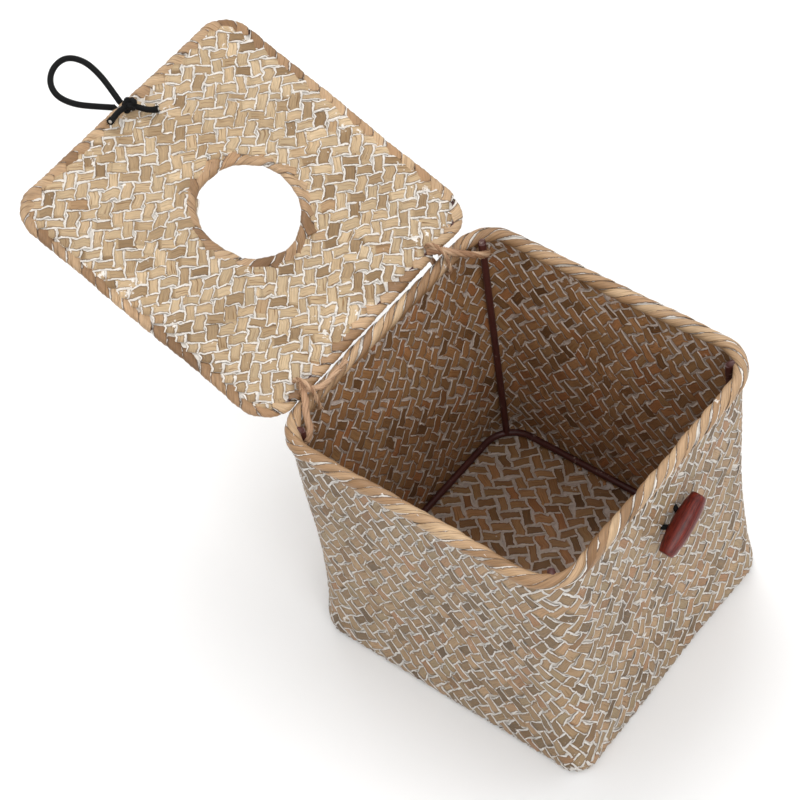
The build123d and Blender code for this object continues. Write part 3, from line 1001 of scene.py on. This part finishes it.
def wood(name):
    """Red-brown stain and a thin gloss over a lengthwise grain; darker on the cut ends."""
    g = Graph(name)
    at, end = g.parts("strip"), g.parts("data")[0]
    grain = g.noise(1.5, 5.0, 0.65, g.scaled(at, (0.06, 0.9, 0.9)))
    fine = g.noise(4.5, 3.0, 0.6, g.scaled(at, (0.25, 1.0, 1.0)))
    cloud = g.noise(0.16, at=g.joined(*at))
    colour = g.colours(grain, (
        (0.25, (34, 6, 5)), (0.42, (72, 14, 9)), (0.55, (98, 24, 13)), (0.75, (130, 44, 22))))
    shade = g.line(fine, 0.5, g.line(cloud, 0.6, 0.45))
    colour = g.shaded(colour, shade)
    g.set(Base_Color=g.mix(g.times(end, 0.6), colour, linear((66, 20, 15))))
    g.set(Roughness=g.line(fine, 0.16, 0.30))
    g.set(Specular_IOR_Level=0.3, Coat_Weight=0.18, Coat_Roughness=0.2)
    g.bump(g.plus(grain, g.times(fine, 0.5)), 0.25, 0.0004)
    return g.material


def wire(name):
    """Dark burgundy plastic coat on the frame's wire, scuffed and dusted with limewash."""
    g = Graph(name)
    scuff = g.noise(180.0, 4.0, 0.7)
    cloud = g.noise(40.0)
    base = g.mix(cloud, linear((52, 22, 20)), linear((84, 38, 32)))
    g.set(Base_Color=g.mix(g.ramp(scuff, 0.62, 0.72), base, linear((150, 132, 122))))
    g.set(Roughness=g.line(scuff, 0.3, 0.3))
    g.bump(scuff, 0.2, 0.0003)
    return g.material


black_elastic, stained_wood = elastic("black_elastic"), wood("stained_wood")
dark_wire = wire("dark_wire")
RAFFIA_TONES = (
    (0.0, (150, 112, 84)), (0.4, (186, 148, 118)), (0.8, (206, 174, 144)), (1.0, (170, 128, 98)),
)
raffia = straw("raffia_cord", RAFFIA_TONES, WASH, 2.0, -9.0, 0.70)


# ---- elastic loop: one line from the lid's front edge and back into it ----

loop_points = lid_points([(u, v, LOOP_W) for u, v in LOOP_ROUTE])
loop_line = smooth_path(loop_points, 140)
solid = Solid()
tube(solid, loop_line, ELASTIC, around=20, ends=False)
loop = solid.build("elastic_loop", black_elastic, "loop", "closure_loop")


# ---- knot under the lid's front edge ----

solid = Solid()
for u in (LOOP_ROUTE[0][0], LOOP_ROUTE[-1][0]):
    strand = [(u, 171.2, LOOP_W), (u, 167.5, LOOP_W + 0.1), (u * 0.9 + 0.2, 163.6, LOOP_W),
              (u * 0.7 + 0.7, 163.2, 1.0), (KNOT_U, KNOT_V, -1.5), (KNOT_U, KNOT_V, KNOT_W)]
    tube(solid, smooth_path(lid_points(strand), 60), ELASTIC * 0.97, around=14, ends=False)
for (u, v), bow in zip(TAIL_ENDS, (1.6, -1.8)):
    tail = [(KNOT_U * (1 - far) + u * far, KNOT_V * (1 - far) + v * far + bow * bent, KNOT_W + up)
            for far, bent, up in ((0, 0, -0.6), (0.4, 1, 0), (0.8, 0.4, 0.3), (1, 0, -0.9))]
    line = smooth_path(lid_points(tail), 40)
    width = ELASTIC * np.interp(np.arange(40), (0, 30, 36, 39), (0.92, 1.0, 1.14, 1.2))
    tube(solid, line, width, around=14, ends=False)
    # the pale cut end, and the threads that stand out of it
    ahead = unit(line[-1] - line[-3])
    tip = line[-1] + ahead * np.linspace(-0.6, 0.3, 4)[:, None]
    tube(solid, tip, ELASTIC * np.array([0.62, 0.62, 0.6, 0.4]), 1.0, 12, ends=False)
    for _ in range(9):
        lean = unit(ahead * rng.uniform(0.3, 1.0) + rng.normal(0, 0.5, 3))
        root = line[-1] + unit(lean - ahead * (lean @ ahead)) * ELASTIC - ahead * 0.5
        tube(solid, root + lean * np.linspace(0, rng.uniform(0.9, 1.8), 5)[:, None], 0.14, 0.5, 6)
for size, high, spin in ((1.08, 0.5, 0.3), (0.9, 1.5, 1.6)):
    u, v, w = trefoil(size, 1.35, spin)
    ball = np.stack([KNOT_U + u, KNOT_V + 0.2 + v, KNOT_W - high - w], -1)
    tube(solid, lid_points(ball), ELASTIC * 0.95, around=14, ends=False)
solid.build("elastic_knot", black_elastic, "lid", "closure_knot")


# ---- raffia hinge ties ----

BELT_RADII = np.array([6.9, 5.0])          # round the hinge axis, round the rim
# routes from a tie: along the rim, back from the hinge axis, up from the rim's middle
TIE_TAIL = ((-2.5, 4.2, 8.2), (1.5, -0.5, 8.4), (5.0, -4.8, 6.6), (10.0, -8.2, 2.6))
TIE_ALONG_RIM = (
    (-1.0, -1.0, 7.6), (5.0, -5.4, 6.2), (12.0, -5.3, 4.6), (20.0, -4.3, 4.2), (27.0, -3.7, 3.4),
)


def belt(x_from, x_to, turns):
    """A cord taken round the hinge axis above and the rim below, from x_from to x_to."""
    angle = np.linspace(-pi / 2, -pi / 2 + 2 * pi * turns, int(90 * turns))
    out = np.stack([np.cos(angle), np.sin(angle)], -1)
    centres = np.array([[HINGE_Y, HINGE_Z], [MOUTH_Y / 2, RIM_Z]])
    which = np.argmax(centres @ out.T + BELT_RADII[:, None], 0)
    flat = centres[which] + BELT_RADII[which][:, None] * out
    x = np.linspace(x_from, x_to, len(angle)) + 0.15 * np.sin(angle * 1.7)
    return np.column_stack([x, flat])


def hinge_tie(name, x, side, stands_for):
    """A tie at x: its belt and knot, and a tail to the upright in the corner on that side.

    The left one's other tail lies along the rim."""
    head_x = side * (CORNER_CENTRE[0] + UPRIGHT_OUT * sqrt(0.5))
    head_y = CORNER_CENTRE[1] + UPRIGHT_OUT * sqrt(0.5)
    solid = Solid()
    twisted(solid, belt(x - 0.6, x + 0.6, 1.2), 1.05, 3, 9.0, fuzz=10)
    tail = [(x + side * on, HINGE_Y + back, RIM_Z + up) for on, back, up in TIE_TAIL]
    tail += [(head_x - side * 4.0, head_y - 2.4, RIM_Z - 4.4),
             (head_x + side * 0.6, head_y - 2.3, RIM_Z - 6.6)]
    twisted(solid, smooth_path(tail, 80), 1.75, 4, 24.0, fuzz=46)
    if side < 0:
        along_rim = [(x + on, HINGE_Y + back, RIM_Z + up) for on, back, up in TIE_ALONG_RIM]
        twisted(solid, smooth_path(along_rim, 80), 1.5, 4, 30.0, fuzz=46)
    angle = np.linspace(0, 2 * pi * 2.2, 60)
    knot = np.stack([x + side * 1.2 + side * 1.6 * angle / 14 + 0.7 * np.cos(angle),
                     HINGE_Y - 0.6 - 0.5 * np.cos(angle), RIM_Z + 7.3 + 1.5 * np.sin(angle)], -1)
    twisted(solid, knot, 1.0, 2, 5.0, fuzz=14)
    angle = np.linspace(0, 2 * pi * 2.6, 90)
    coil = np.stack([head_x + 2.7 * np.cos(angle), head_y + 2.7 * np.sin(angle),
                     RIM_Z - 8.0 + 1.1 * angle / (2 * pi)], -1)
    twisted(solid, coil, 0.95, 2, 5.5, fuzz=6)
    solid.build(name, raffia, "root", stands_for)


hinge_tie("raffia_tie_left", -55.3, -1, "hinge_tie_left")
hinge_tie("raffia_tie_right", 49.4, 1, "hinge_tie_right")


# ---- toggle ----

def toggle_points(local):
    """Points along the toggle, across it and towards the wall, taken to their place."""
    tilt = radians(TOGGLE_TILT)
    x, y, z = np.moveaxis(np.asarray(local, float), -1, 0)
    return np.stack([TOGGLE[0] + x * cos(tilt) + y * sin(tilt), TOGGLE[1] + z,
                     TOGGLE[2] + x * sin(tilt) - y * cos(tilt)], -1)


def turned(solid, stations, around=64, centre=(0.0, 0.0)):
    """A turned solid: (x, radius, end) stations along the toggle's own axis."""
    x, radius, end = (column[:, None] for column in np.array(stations).T)
    angle = np.linspace(0, 2 * pi, around + 1)[:-1]
    shape = len(stations), around
    local = per_point(shape, x, radius * np.cos(angle) + centre[0],
                      radius * np.sin(angle) + centre[1])
    solid.add(toggle_points(local), local, per_point(shape, end, 0.0, 0.0))


solid = Solid()
half = TOGGLE_LENGTH / 2
barrel = [(-half, 1.5, 1), (-half, TOGGLE_END - 0.35, 1), (-half + 0.15, TOGGLE_END, 0.8)]
for x in np.linspace(-half + 0.45, half - 0.45, 40):
    bow = TOGGLE_END + 0.25 + (TOGGLE_RADIUS - TOGGLE_END - 0.25) * (1 - abs(x / half) ** 2.3)
    barrel.append((x, bow + 0.04 * sin(x * 1.3), 0))
barrel += [(half - 0.15, TOGGLE_END, 0.8), (half, TOGGLE_END - 0.35, 1), (half, 1.5, 1)]
turned(solid, barrel)
for along in (-4.5, 4.5):
    nub = [(along + 2.0 * sin(a), max(0.15, 2.5 * cos(a) ** 0.5), 0)
           for a in np.linspace(-pi / 2 + 0.05, pi / 2 - 0.05, 15)]
    turned(solid, nub, 24, centre=(0.6, 4.4))
solid.build("toggle_barrel", stained_wood, "toggle", "toggle")

solid = Solid()
for along in (-6.2, 6.2):
    bit = toggle_points([(along * 0.55, -0.5, 3.6), (along * 0.8, -1.6, 6.0), (along, -2.0, 8.2),
                         (along, -1.8, 11.2)])
    tube(solid, smooth_path(bit, 30), 1.35, around=14)
for along in (-4.0, 4.6):
    stub = toggle_points([(along, 2.0, 2.6), (along, 4.6, 2.2), (along + 0.6, 5.9, 2.6)])
    tube(solid, smooth_path(stub, 16), 1.1, around=12)
solid.build("toggle_cord_bits", black_elastic, "toggle", "toggle_cord")

solid = Solid()
across, up, out = trefoil(1.0, 1.3)
ball = np.stack([TOGGLE[0] + across, INNER_KNOT_Y + out, TOGGLE[2] + up], -1)
tube(solid, ball, 1.35, around=14, ends=False)
solid.build("inner_knot", black_elastic, "toggle", "toggle_knot")


# ---- wire frame: the CAD's own pieces with a finish, a bowed top ring, bent heads ----

rim_tube("rim_wire", WIRE, dark_wire, "frame_top_ring")
for name, node in nodes.items():
    if "wire" in name or (name.startswith("frame_") and name != "frame_top_ring"):
        node.data.materials.clear()
        node.data.materials.append(dark_wire)
        node.data.shade_smooth()

HEAD_BENDS = ((0.0, -8.0), (0.0, -4.0), (0.25, -1.0), (1.35, 0.2), (4.35, 0.2))    # out, up
solid = Solid()
for side in (-1, 1):
    for end in (-1, 1):
        head = [(side * (CORNER_CENTRE[0] + (UPRIGHT_OUT + out) * sqrt(0.5)),
                 end * (CORNER_CENTRE[1] + (UPRIGHT_OUT + out) * sqrt(0.5)), RIM_Z + up)
                for out, up in HEAD_BENDS]
        tube(solid, smooth_path(head, 30), 2.08, 0.5, 16)
solid.build("upright_heads", dark_wire, "root")


# ---- floor and light ----

bpy.ops.mesh.primitive_plane_add(size=8.0, location=(0, 0, 0))
floor = bpy.context.object
floor.name = "floor"
g = Graph("pale_floor")
dust = g.noise(3.0)
g.set(Base_Color=g.mix(dust, (0.86, 0.86, 0.86), (0.88, 0.88, 0.88)), Roughness=0.9)
floor.data.materials.append(g.material)
floor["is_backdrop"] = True

world = bpy.data.worlds.new("studio")
bpy.context.scene.world = world
world.use_nodes = True
glow = world.node_tree.nodes["Background"].inputs
glow["Color"].default_value, glow["Strength"].default_value = (1.0, 1.0, 1.0, 1.0), 0.49


def light(name, kind, energy, aim, place=(0, 0, 0)):
    data = bpy.data.lights.new(name, kind)
    data.energy = energy
    made = bpy.data.objects.new(name, data)
    made.location = place
    made.rotation_euler = Vector(aim).to_track_quat("-Z", "Y").to_euler()
    bpy.context.collection.objects.link(made)
    return data


SUNS = (
    ("key", 1.20, 45, (0.46, 0.72, -0.55)), ("sky", 1.25, 115, (0, 0, -1)),
    ("back", 1.0, 30, (-0.22, -0.34, -0.9)),
)
for name, energy, spread, aim in SUNS:
    light(name, "SUN", energy, aim).angle = radians(spread)
disk = light("side", "AREA", 3.0, (-1.2, 1.1, -0.9), place=(1.2, -1.1, 1.0))
disk.shape, disk.size = "DISK", 1.0
bpy.context.scene.view_settings.view_transform = "Standard"

low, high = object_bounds()
